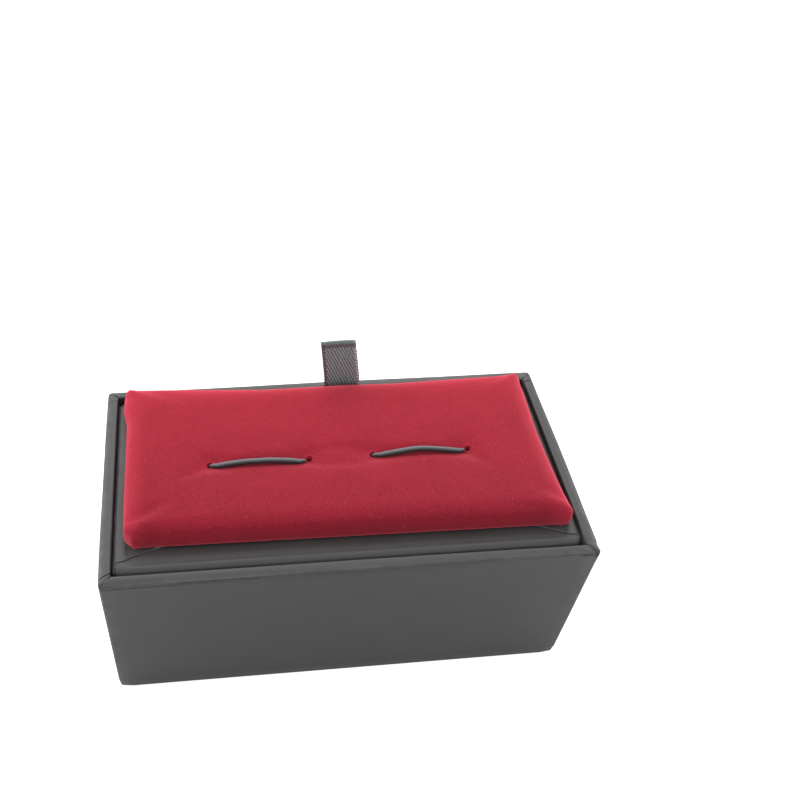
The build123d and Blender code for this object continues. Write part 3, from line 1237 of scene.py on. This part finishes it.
clumped = add_node(
    tree,
    "ShaderNodeBump",
    {},
    {"Height": lean, "Strength": 0.3, "Distance": 0.3 * mm},
)
napped = add_node(
    tree,
    "ShaderNodeBump",
    {},
    {"Height": tufts, "Strength": 0.7, "Distance": 0.1 * mm, "Normal": clumped},
)
shader = add_node(
    tree,
    "ShaderNodeBsdfPrincipled",
    {},
    {
        "Base Color": painted_light_colour,
        "Roughness": 0.95,
        "Specular IOR Level": 0.15,
        "Sheen Weight": 1.0,
        "Sheen Roughness": 0.5,
        "Sheen Tint": linear("#ff7a88"),
        "Normal": napped,
    },
)
add_node(tree, "ShaderNodeOutputMaterial", {}, {"Surface": shader})
velvet_mesh.materials.clear()
velvet_mesh.materials.append(velvet)
velvet_mesh.shade_smooth()
give_thickness(velvet_pad, velvet_thickness)
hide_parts("pad_velvet")
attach(velvet_pad, "drawer")


# ---- Pad board ----
# A piece of the same greyboard under the foam, cut with the velvet and as much askew,
# with four holes that the elastics go through.
form = merged_copy("pad_board")
# It is divided along its length and width, so that it can follow the velvet's outline.
for across, count in ((Vector((1, 0, 0)), 13), (Vector((0, 1, 0)), 6)):
    for number in range(count):
        share = (number + 0.5) / count
        bmesh.ops.bisect_plane(
            form,
            geom=form.verts[:] + form.edges[:] + form.faces[:],
            dist=1e-7,
            plane_co=pad_low.lerp(pad_high, share),
            plane_no=across,
        )
set_askew(form)
# The cloth is drawn in along its lower edge, so the board is cut a little small for it.
board_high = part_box("pad_board")[1]
cut_small = 0.7 * mm
for corner in form.verts:
    corner.co.x *= 1 - cut_small / board_high.x
    corner.co.y -= (corner.co.y - pad_middle.y) * cut_small / (board_high.y - pad_middle.y)
pad_board = make_piece("pad_board_blank", form, grey_board, 30)
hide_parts("pad_board")
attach(pad_board, "drawer")


# ---- Pad foam ----
# A sheet of white polyurethane foam glued on the pad board. It fills the velvet, so it
# has the same swell and the same dimples, and lies just inside the cloth. Round the
# holes it is pressed down, out of sight.
foam_inset = 1.6 * velvet_thickness
foam_form.normal_update()
for corner in foam_form.verts:
    corner.co -= corner.normal * foam_inset
    corner.co.z -= max(0, 1 - hole_distance(corner.co) / (2.2 * mm)) * 2.5 * mm
cut = bmesh.ops.bisect_plane(
    foam_form,
    geom=foam_form.verts[:] + foam_form.edges[:] + foam_form.faces[:],
    dist=1e-7,
    plane_co=Vector((0, 0, pad_side_top)),
    plane_no=Vector((0, 0, -1)),
    clear_outer=True,
)["geom_cut"]
bmesh.ops.contextual_create(
    foam_form, geom=[item for item in cut if isinstance(item, bmesh.types.BMEdge)]
)
foam_form.normal_update()
foam, tree = new_material("polyurethane_foam")
place = add_node(tree, "ShaderNodeTexCoord", {}, {}, "Object")
# Open cells about 0.4 mm across pit the surface, and age has yellowed it a little.
cells = add_node(
    tree,
    "ShaderNodeTexVoronoi",
    {},
    {"Vector": place, "Scale": 1 / (0.4 * mm)},
    "Distance",
)
foam_colour = add_node(
    tree,
    "ShaderNodeMix",
    {"data_type": "RGBA"},
    {"Factor": cells, "A": linear("#b9b3a0"), "B": linear("#f1ecdc")},
)
pitted = add_node(
    tree,
    "ShaderNodeBump",
    {},
    {"Height": cells, "Strength": 0.8, "Distance": 0.15 * mm},
)
shader = add_node(
    tree,
    "ShaderNodeBsdfPrincipled",
    {},
    {"Base Color": foam_colour, "Roughness": 0.95, "Normal": pitted},
)
add_node(tree, "ShaderNodeOutputMaterial", {}, {"Surface": shader})
foam_sheet = make_piece("pad_foam_sheet", foam_form, foam, 60)
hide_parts("pad_foam")
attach(foam_sheet, "drawer")


# ---- Elastic loops ----
# Two short lengths of round braided elastic. Each end goes down a hole in the pad, and
# the middle lies just proud of the velvet to take a cufflink's bar. Each is made as two
# halves, because it stretches from its holes when the middle is lifted.
cord_radius = 0.53 * mm
cord_foot = 35.4 * mm
end_bend = 0.7 * mm
top_bend = 48 * mm
slope = asin((hole_reach - end_bend) / (top_bend - end_bend))
arch_top = 39.8 * mm


def follow(legs, distance, heading):
    """Where a flat route of straight legs and turns has come to after a distance, and
    which way it then heads. Each leg is its length and the angle it turns through."""
    across = up = 0.0
    for length, turn in legs:
        step = min(distance, length)
        if turn:
            radius = length / turn
            bend = step / radius
            across += radius * (sin(heading + bend) - sin(heading))
            up += radius * (cos(heading) - cos(heading + bend))
            heading += bend
        else:
            across += cos(heading) * step
            up += sin(heading) * step
        distance -= step
        if distance <= 0:
            break
    return across, up, heading


leg_height = arch_top - top_bend * (1 - cos(slope)) - end_bend * cos(slope) - cord_foot
loop_legs = [
    (leg_height, 0),
    (end_bend * (pi / 2 - slope), slope - pi / 2),
    (top_bend * slope, -slope),
]
half_loop = sum(length for length, turn in loop_legs)
rib_spacing = 0.3 * mm
ring_step = 0.1 * mm


def make_half_loop(name, middle, loop_y, side, material):
    """One half of a loop, from its foot under the pad to the middle of its arch."""
    form = bmesh.new()
    bmesh.ops.create_circle(form, cap_ends=True, segments=20, radius=cord_radius)
    run = form.edges[:]
    rings = round(half_loop / ring_step)
    for _ in range(rings):
        corners, run = grow(form, run)
        bmesh.ops.translate(form, vec=(0, 0, half_loop / rings), verts=corners)
    bmesh.ops.contextual_create(form, geom=run)
    bmesh.ops.recalc_face_normals(form, faces=form.faces[:])
    chart = form.loops.layers.uv.new("braid")
    for face in form.faces:
        turns = [Vector((1, 0)).angle_signed(c.co.xy, 0) / (2 * pi) for c in face.verts]
        if max(turns) - min(turns) > 0.5:
            turns = [turn + 1 if turn < 0 else turn for turn in turns]
        for loop, turn in zip(face.loops, turns):
            loop[chart].uv = (turn, loop.vert.co.z / mm)
    for corner in form.verts:
        across, up, heading = follow(loop_legs, corner.co.z, pi / 2)
        # Where the cord turns down into its hole the cloth pinches it thinner.
        pinch = 1 - 0.3 * max(0, 1 - abs(corner.co.z - leg_height - 0.3 * mm) / (2.2 * mm))
        # The braid's ribs stand a little proud.
        rib = 1 + 0.035 * sin(corner.co.z / rib_spacing * 2 * pi)
        sideways, outwards = corner.co.x * pinch * rib, corner.co.y * pinch * rib
        # It slumps to the front of its hole, and the right cord's middle lies further back.
        past_hole = max(0, across / mm)
        slump = -0.4 * min(1, past_hole / 1.2) * max(0, 1 - past_hole / 7)
        sway = (0.25 if middle > 0 else -0.2) * (past_hole / 8.9) ** 2
        corner.co = Vector((
            middle + side * (hole_reach - across + sin(heading) * outwards),
            loop_y + sideways + (slump + sway) * mm,
            cord_foot + up + cos(heading) * outwards,
        ))
    # Laid along its route, the right half comes out mirrored, with its faces looking in.
    if side > 0:
        bmesh.ops.reverse_faces(form, faces=form.faces[:])
    form.normal_update()
    return make_piece(name, form, material, 60)


# Latex core under a braided polyester cover: fine slanting ribs that cross each other,
# near black with a dull thread sheen.
braided_elastic, tree = new_material("braided_elastic")
chart = add_node(tree, "ShaderNodeUVMap", {"uv_map": "braid"}, {})
turn = add_node(tree, "ShaderNodeSeparateXYZ", {}, {"Vector": chart}, "X")
along = turn.node.outputs["Y"]
strands = []
for way in (1, -1):
    slanted = add_node(tree, "ShaderNodeMath", {"operation": "MULTIPLY"}, {"Value": turn})
    slanted.node.inputs[1].default_value = way * 2.0
    pitch = add_node(tree, "ShaderNodeMath", {"operation": "DIVIDE"}, {"Value": along})
    pitch.node.inputs[1].default_value = rib_spacing / mm
    phase = add_node(tree, "ShaderNodeMath", {"operation": "ADD"}, {"Value": slanted})
    tree.links.new(pitch, phase.node.inputs[1])
    turned = add_node(tree, "ShaderNodeMath", {"operation": "MULTIPLY"}, {"Value": phase})
    turned.node.inputs[1].default_value = 2 * pi
    strands.append(add_node(tree, "ShaderNodeMath", {"operation": "SINE"}, {"Value": turned}))
crossing = add_node(tree, "ShaderNodeMath", {"operation": "MAXIMUM"}, {"Value": strands[0]})
tree.links.new(strands[1], crossing.node.inputs[1])
crossing_share = add_node(
    tree, "ShaderNodeMapRange", {}, {"Value": crossing, "From Min": -0.4, "From Max": 1.0}
)
cord_colour = add_node(
    tree,
    "ShaderNodeMix",
    {"data_type": "RGBA"},
    {"Factor": crossing_share, "A": linear("#0c0d0e"), "B": linear("#292c2e")},
)
# Painted highlight: the top and back, which face the lamps above and behind, are painted paler.
lie = add_node(tree, "ShaderNodeNewGeometry", {}, {}, "Normal")
facing_lamps = add_node(
    tree, "ShaderNodeVectorMath", {"operation": "DOT_PRODUCT"}, {"Vector": lie}, "Value"
)
facing_lamps.node.inputs[1].default_value = (0.0, 0.45, 0.89)
painted_highlight_share = add_node(
    tree,
    "ShaderNodeMapRange",
    {"interpolation_type": "SMOOTHSTEP"},
    {"Value": facing_lamps, "From Min": 0.1, "From Max": 1.0, "To Min": 0.0, "To Max": 0.8},
)
painted_highlight_colour = add_node(
    tree,
    "ShaderNodeMix",
    {"data_type": "RGBA"},
    {"Factor": painted_highlight_share, "A": cord_colour, "B": linear("#767c80")},
)
ribbed = add_node(
    tree,
    "ShaderNodeBump",
    {},
    {"Height": crossing_share, "Strength": 0.6, "Distance": 0.05 * mm},
)
shader = add_node(
    tree,
    "ShaderNodeBsdfPrincipled",
    {},
    {
        "Base Color": painted_highlight_colour,
        "Roughness": 0.45,
        "Specular IOR Level": 0.3,
        "Sheen Weight": 0.1,
        "Sheen Roughness": 0.5,
        "Normal": ribbed,
    },
)
add_node(tree, "ShaderNodeOutputMaterial", {}, {"Surface": shader})
for loop_name, (middle, loop_y) in loop_spots.items():
    for end_name, side in (("left", -1), ("right", 1)):
        half = make_half_loop(
            "elastic_" + loop_name + "_loop_" + end_name + "_half",
            middle,
            loop_y,
            side,
            braided_elastic,
        )
        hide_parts("elastic_loop_" + loop_name)
        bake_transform(half)


# ---- Barbs ----
# Four flat steel bars, one pressed on each cord end. They lie crosswise under the pad
# board and keep the elastic from pulling through.
barb_steel, tree = new_material("zinc_plated_steel")
place = add_node(tree, "ShaderNodeTexCoord", {}, {}, "Object")
# Stamped from plated strip: fine lengthwise drawing lines and a pale, slightly dull zinc.
drawn = add_node(
    tree, "ShaderNodeMapping", {}, {"Vector": place, "Scale": (1.0, 0.05, 1.0)}
)
drawing_lines = add_node(
    tree,
    "ShaderNodeTexNoise",
    {},
    {"Vector": drawn, "Scale": 1 / (0.08 * mm), "Detail": 3.0},
)
zinc_colour = add_node(
    tree,
    "ShaderNodeMix",
    {"data_type": "RGBA"},
    {"Factor": drawing_lines, "A": linear("#a9abac"), "B": linear("#c9cbcc")},
)
zinc_dullness = add_node(
    tree,
    "ShaderNodeMapRange",
    {},
    {"Value": drawing_lines, "To Min": 0.25, "To Max": 0.5},
)
scored = add_node(
    tree,
    "ShaderNodeBump",
    {},
    {"Height": drawing_lines, "Strength": 0.3, "Distance": 0.01 * mm},
)
shader = add_node(
    tree,
    "ShaderNodeBsdfPrincipled",
    {},
    {"Base Color": zinc_colour, "Metallic": 1.0, "Roughness": zinc_dullness, "Normal": scored},
)
add_node(tree, "ShaderNodeOutputMaterial", {}, {"Surface": shader})
dress(["elastic_barbs"], barb_steel)


# ---- Pull ribbon ----
# A length of 7 mm black satin ribbon folded double. Its two ends are glued under the
# pad, and the fold stands up behind the pad, leaning a little to the left.
ribbon_low, ribbon_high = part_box("pull_ribbon")
tail_low, tail_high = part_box("ribbon_tail")
ribbon_width = tail_high.x - tail_low.x
ribbon_middle = (tail_high.x + tail_low.x) / 2 + 0.5 * mm
ribbon_back = 19.5 * mm
ribbon_lean = tail_low.x - ribbon_low.x
ribbon_foot = 35.25 * mm    # height of the ply's middle under the pad
ribbon_ply = 0.28 * mm
foot_turn = 0.3 * mm
fold_turn = 0.36 * mm
tail_run = 7.55 * mm
parting = radians(2.6)
loop_pitch = 0.85 * mm      # from one loop of the selvedge to the next
ribbon_legs = [
    (tail_run, 0),
    (foot_turn * pi / 2, pi / 2),
    (2.2 * mm, 0),
    (0.8 * mm, parting),
    (3.6 * mm, 0),
    (0.8 * mm, -parting),
    (5.72 * mm, 0),
    (fold_turn * pi, -pi),
    (5.72 * mm, 0),
    (0.8 * mm, -parting),
    (3.6 * mm, 0),
    (0.8 * mm, parting),
    (2.5 * mm, 0),
    (foot_turn * pi / 2, -pi / 2),
    (tail_run, 0),
]
ribbon_length = sum(length for length, turn in ribbon_legs)
form = bmesh.new()
bmesh.ops.create_grid(form, x_segments=28, y_segments=300, size=0.5)
bmesh.ops.scale(form, vec=(ribbon_width, ribbon_length, 1), verts=form.verts[:])
chart = form.loops.layers.uv.new("weave")
for face in form.faces:
    for loop in face.loops:
        loop[chart].uv = (
            (loop.vert.co.x + ribbon_width / 2) / mm,
            (loop.vert.co.y + ribbon_length / 2) / mm,
        )
for corner in form.verts:
    distance = corner.co.y + ribbon_length / 2
    across, up, heading = follow(ribbon_legs, distance, 0)
    height = ribbon_foot + up
    rise = max(0, (height - 38.5 * mm) / (ribbon_high.z - 38.5 * mm))
    edge_share = corner.co.x / (ribbon_width / 2)
    # A soft cupping and a slight twist keep it from standing as flat as card.
    cup = 0.1 * mm * edge_share * edge_share * rise
    twist = 0.14 * mm * edge_share * rise
    # The selvedge's loops stand out past the left edge, and the ribbon draws in upwards.
    scallop = 0.1 * mm * sin(distance * 2 * pi / loop_pitch) * max(0, -edge_share) ** 12
    corner.co = Vector((
        ribbon_middle + corner.co.x * (1 - 0.05 * rise) + scallop - ribbon_lean * rise ** 1.1,
        ribbon_back - tail_run - foot_turn + across - cup + twist,
        height - 0.05 * mm * edge_share * edge_share * rise,
    ))
form.normal_update()

# Woven polyester satin: steep slanting floats that catch the light, a looped selvedge
# along each edge, and a plainer band where it is pressed into its fold, painted darker
# there as painted shade. The floats are nearer 0.3 mm apart, and are drawn at 0.6 mm so
# that they show at all.
thread_spacing = 0.6 * mm
selvedge = 0.6 * mm
ribbon_satin, tree = new_material("woven_satin_ribbon")
chart = add_node(tree, "ShaderNodeUVMap", {"uv_map": "weave"}, {})
across = add_node(tree, "ShaderNodeSeparateXYZ", {}, {"Vector": chart}, "X")
along = across.node.outputs["Y"]
unevenness = add_node(
    tree, "ShaderNodeTexNoise", {}, {"Vector": chart, "Scale": 1.4, "Detail": 3.0}
)
steep = add_node(tree, "ShaderNodeMath", {"operation": "MULTIPLY"}, {"Value": along})
steep.node.inputs[1].default_value = 0.33
slanted = add_node(tree, "ShaderNodeMath", {"operation": "ADD"}, {"Value": across})
tree.links.new(steep, slanted.node.inputs[1])
wavering = add_node(
    tree, "ShaderNodeMapRange", {}, {"Value": unevenness, "To Min": -0.35, "To Max": 0.35}
)
wavered = add_node(tree, "ShaderNodeMath", {"operation": "ADD"}, {"Value": slanted})
tree.links.new(wavering, wavered.node.inputs[1])
phase = add_node(tree, "ShaderNodeMath", {"operation": "MULTIPLY"}, {"Value": wavered})
phase.node.inputs[1].default_value = 2 * pi / (thread_spacing / mm)
floats = add_node(tree, "ShaderNodeMath", {"operation": "SINE"}, {"Value": phase})
threads = add_node(
    tree,
    "ShaderNodeTexNoise",
    {},
    {"Vector": chart, "Scale": 5.0, "Detail": 3.0, "Roughness": 0.7},
)
broken = add_node(tree, "ShaderNodeMath", {"operation": "MULTIPLY"}, {"Value": floats})
tree.links.new(threads, broken.node.inputs[1])
float_share = add_node(
    tree, "ShaderNodeMapRange", {}, {"Value": broken, "From Min": -0.45, "From Max": 0.5}
)
# Distance in from the nearer edge, in mm.
from_middle = add_node(tree, "ShaderNodeMath", {"operation": "SUBTRACT"}, {"Value": across})
from_middle.node.inputs[1].default_value = ribbon_width / mm / 2
off_middle = add_node(tree, "ShaderNodeMath", {"operation": "ABSOLUTE"}, {"Value": from_middle})
edge_share = add_node(
    tree,
    "ShaderNodeMapRange",
    {},
    {
        "Value": off_middle,
        "From Min": (ribbon_width / 2 - selvedge) / mm,
        "From Max": (ribbon_width / 2 - selvedge) / mm + 0.15,
    },
)
stitch_phase = add_node(tree, "ShaderNodeMath", {"operation": "MULTIPLY"}, {"Value": along})
stitch_phase.node.inputs[1].default_value = 2 * pi / (loop_pitch / mm)
stitches = add_node(tree, "ShaderNodeMath", {"operation": "SINE"}, {"Value": stitch_phase})
stitch_share = add_node(
    tree, "ShaderNodeMapRange", {}, {"Value": stitches, "From Min": -1.0, "From Max": 1.0}
)
weave_height = add_node(
    tree,
    "ShaderNodeMix",
    {"data_type": "FLOAT"},
    {"Factor": edge_share, "A": float_share, "B": stitch_share},
)
satin_colour = add_node(
    tree,
    "ShaderNodeMix",
    {"data_type": "RGBA"},
    {"Factor": float_share, "A": linear("#546467"), "B": linear("#96b0b2")},
)
left_edge = add_node(
    tree,
    "ShaderNodeMix",
    {"data_type": "RGBA"},
    {"Factor": stitch_share, "A": linear("#2b2d2e"), "B": linear("#7e8283")},
)
right_edge = add_node(
    tree,
    "ShaderNodeMix",
    {"data_type": "RGBA"},
    {"Factor": stitch_share, "A": linear("#7a8386"), "B": linear("#cdd3d5")},
)
on_right = add_node(
    tree, "ShaderNodeMath", {"operation": "GREATER_THAN"}, {"Value": from_middle}
)
on_right.node.inputs[1].default_value = 0.0
edge_colour = add_node(
    tree,
    "ShaderNodeMix",
    {"data_type": "RGBA"},
    {"Factor": on_right, "A": left_edge, "B": right_edge},
)
# The fold is at the middle of the ribbon's length.
from_fold = add_node(tree, "ShaderNodeMath", {"operation": "SUBTRACT"}, {"Value": along})
from_fold.node.inputs[1].default_value = ribbon_length / mm / 2
off_fold = add_node(tree, "ShaderNodeMath", {"operation": "ABSOLUTE"}, {"Value": from_fold})
# The fold band is plainer and painted darker: painted shade, as the fold gets less light.
fold_band_and_shade_share = add_node(
    tree,
    "ShaderNodeMapRange",
    {},
    {"Value": off_fold, "From Min": 1.35, "From Max": 1.6, "To Min": 0.75, "To Max": 0.0},
)
edged = add_node(
    tree,
    "ShaderNodeMix",
    {"data_type": "RGBA"},
    {"Factor": edge_share, "A": satin_colour, "B": edge_colour},
)
ribbon_colour = add_node(
    tree,
    "ShaderNodeMix",
    {"data_type": "RGBA"},
    {"Factor": fold_band_and_shade_share, "A": edged, "B": linear("#4b4f50")},
)
woven = add_node(
    tree,
    "ShaderNodeBump",
    {},
    {"Height": weave_height, "Strength": 0.6, "Distance": 0.06 * mm},
)
shader = add_node(
    tree,
    "ShaderNodeBsdfPrincipled",
    {},
    {
        "Base Color": ribbon_colour,
        "Roughness": 0.42,
        "Anisotropic": 0.5,
        "Sheen Weight": 0.15,
        "Normal": woven,
    },
)
add_node(tree, "ShaderNodeOutputMaterial", {}, {"Surface": shader})
ribbon = make_piece("folded_pull_ribbon", form, ribbon_satin, 80)
ply = ribbon.modifiers.new("ply", "SOLIDIFY")
ply.thickness = ribbon_ply
ply.offset = 0
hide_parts("pull_ribbon", "ribbon_tail")
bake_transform(ribbon)


# ---- Table and light ----
# A white table that the box stands on, in a pale room, with soft lights behind it and
# at both sides and a weaker one in front.
form = bmesh.new()
bmesh.ops.create_grid(form, x_segments=4, y_segments=4, size=1.5)
table_top, tree = new_material("white_laminate")
light_path = add_node(tree, "ShaderNodeLightPath", {}, {}, "Is Camera Ray")
mirrored = add_node(
    tree,
    "ShaderNodeMath",
    {"operation": "MULTIPLY"},
    {"Value": light_path.node.outputs["Is Glossy Ray"]},
)
mirrored.node.inputs[1].default_value = 0.3
seen = add_node(
    tree, "ShaderNodeMath", {"operation": "MAXIMUM"}, {"Value": light_path}
)
tree.links.new(mirrored, seen.node.inputs[1])
seen_through = add_node(
    tree, "ShaderNodeMath", {"operation": "MAXIMUM"}, {"Value": seen}
)
tree.links.new(light_path.node.outputs["Is Transmission Ray"], seen_through.node.inputs[1])
# The table keeps the box's shadow: its own white is only lifted, not replaced.
table_paint = add_node(
    tree, "ShaderNodeBsdfDiffuse", {}, {"Color": linear("#e4e4e2"), "Roughness": 0.5}
)
lift_share = add_node(
    tree, "ShaderNodeMath", {"operation": "MULTIPLY"}, {"Value": seen_through}
)
lift_share.node.inputs[1].default_value = 0.8
lift = add_node(
    tree, "ShaderNodeEmission", {}, {"Color": linear("#ffffff"), "Strength": lift_share}
)
lifted = tree.nodes.new("ShaderNodeAddShader")
tree.links.new(table_paint, lifted.inputs[0])
tree.links.new(lift, lifted.inputs[1])
add_node(tree, "ShaderNodeOutputMaterial", {}, {"Surface": lifted.outputs[0]})
table = make_piece("table_top", form, table_top)

room = bpy.data.worlds.new("pale_room")
scene.world = room
room.use_nodes = True
tree = room.node_tree
tree.nodes.clear()
light_path = add_node(tree, "ShaderNodeLightPath", {}, {}, "Is Camera Ray")
seen = add_node(tree, "ShaderNodeMath", {"operation": "MAXIMUM"}, {"Value": light_path})
tree.links.new(light_path.node.outputs["Is Glossy Ray"], seen.node.inputs[1])
seen_through = add_node(tree, "ShaderNodeMath", {"operation": "MAXIMUM"}, {"Value": seen})
tree.links.new(light_path.node.outputs["Is Transmission Ray"], seen_through.node.inputs[1])
room_strength = add_node(
    tree,
    "ShaderNodeMapRange",
    {},
    {"Value": seen_through, "To Min": 0.4, "To Max": 1.0},
)
room_light = add_node(
    tree, "ShaderNodeBackground", {}, {"Color": linear("#ffffff"), "Strength": room_strength}
)
add_node(tree, "ShaderNodeOutputWorld", {}, {"Surface": room_light})


def add_lamp(name, place, size, watts):
    """A square soft lamp that looks at the middle of the box."""
    lamp = bpy.data.lights.new(name, "AREA")
    lamp.size = size
    lamp.energy = watts
    lit = bpy.data.objects.new(name, lamp)
    scene.collection.objects.link(lit)
    lit.location = place
    looking = Vector((0, 0, 0.02)) - Vector(place)
    lit.rotation_euler = looking.to_track_quat("-Z", "Y").to_euler()


add_lamp("left_softbox", (-0.42, 0.16, 0.30), 0.35, 1.6)
add_lamp("right_softbox", (0.45, 0.10, 0.30), 0.35, 0.9)
add_lamp("back_softbox", (0.04, 0.45, 0.48), 0.5, 2.0)
add_lamp("front_fill", (0.2, -0.8, 0.5), 0.6, 2.5)
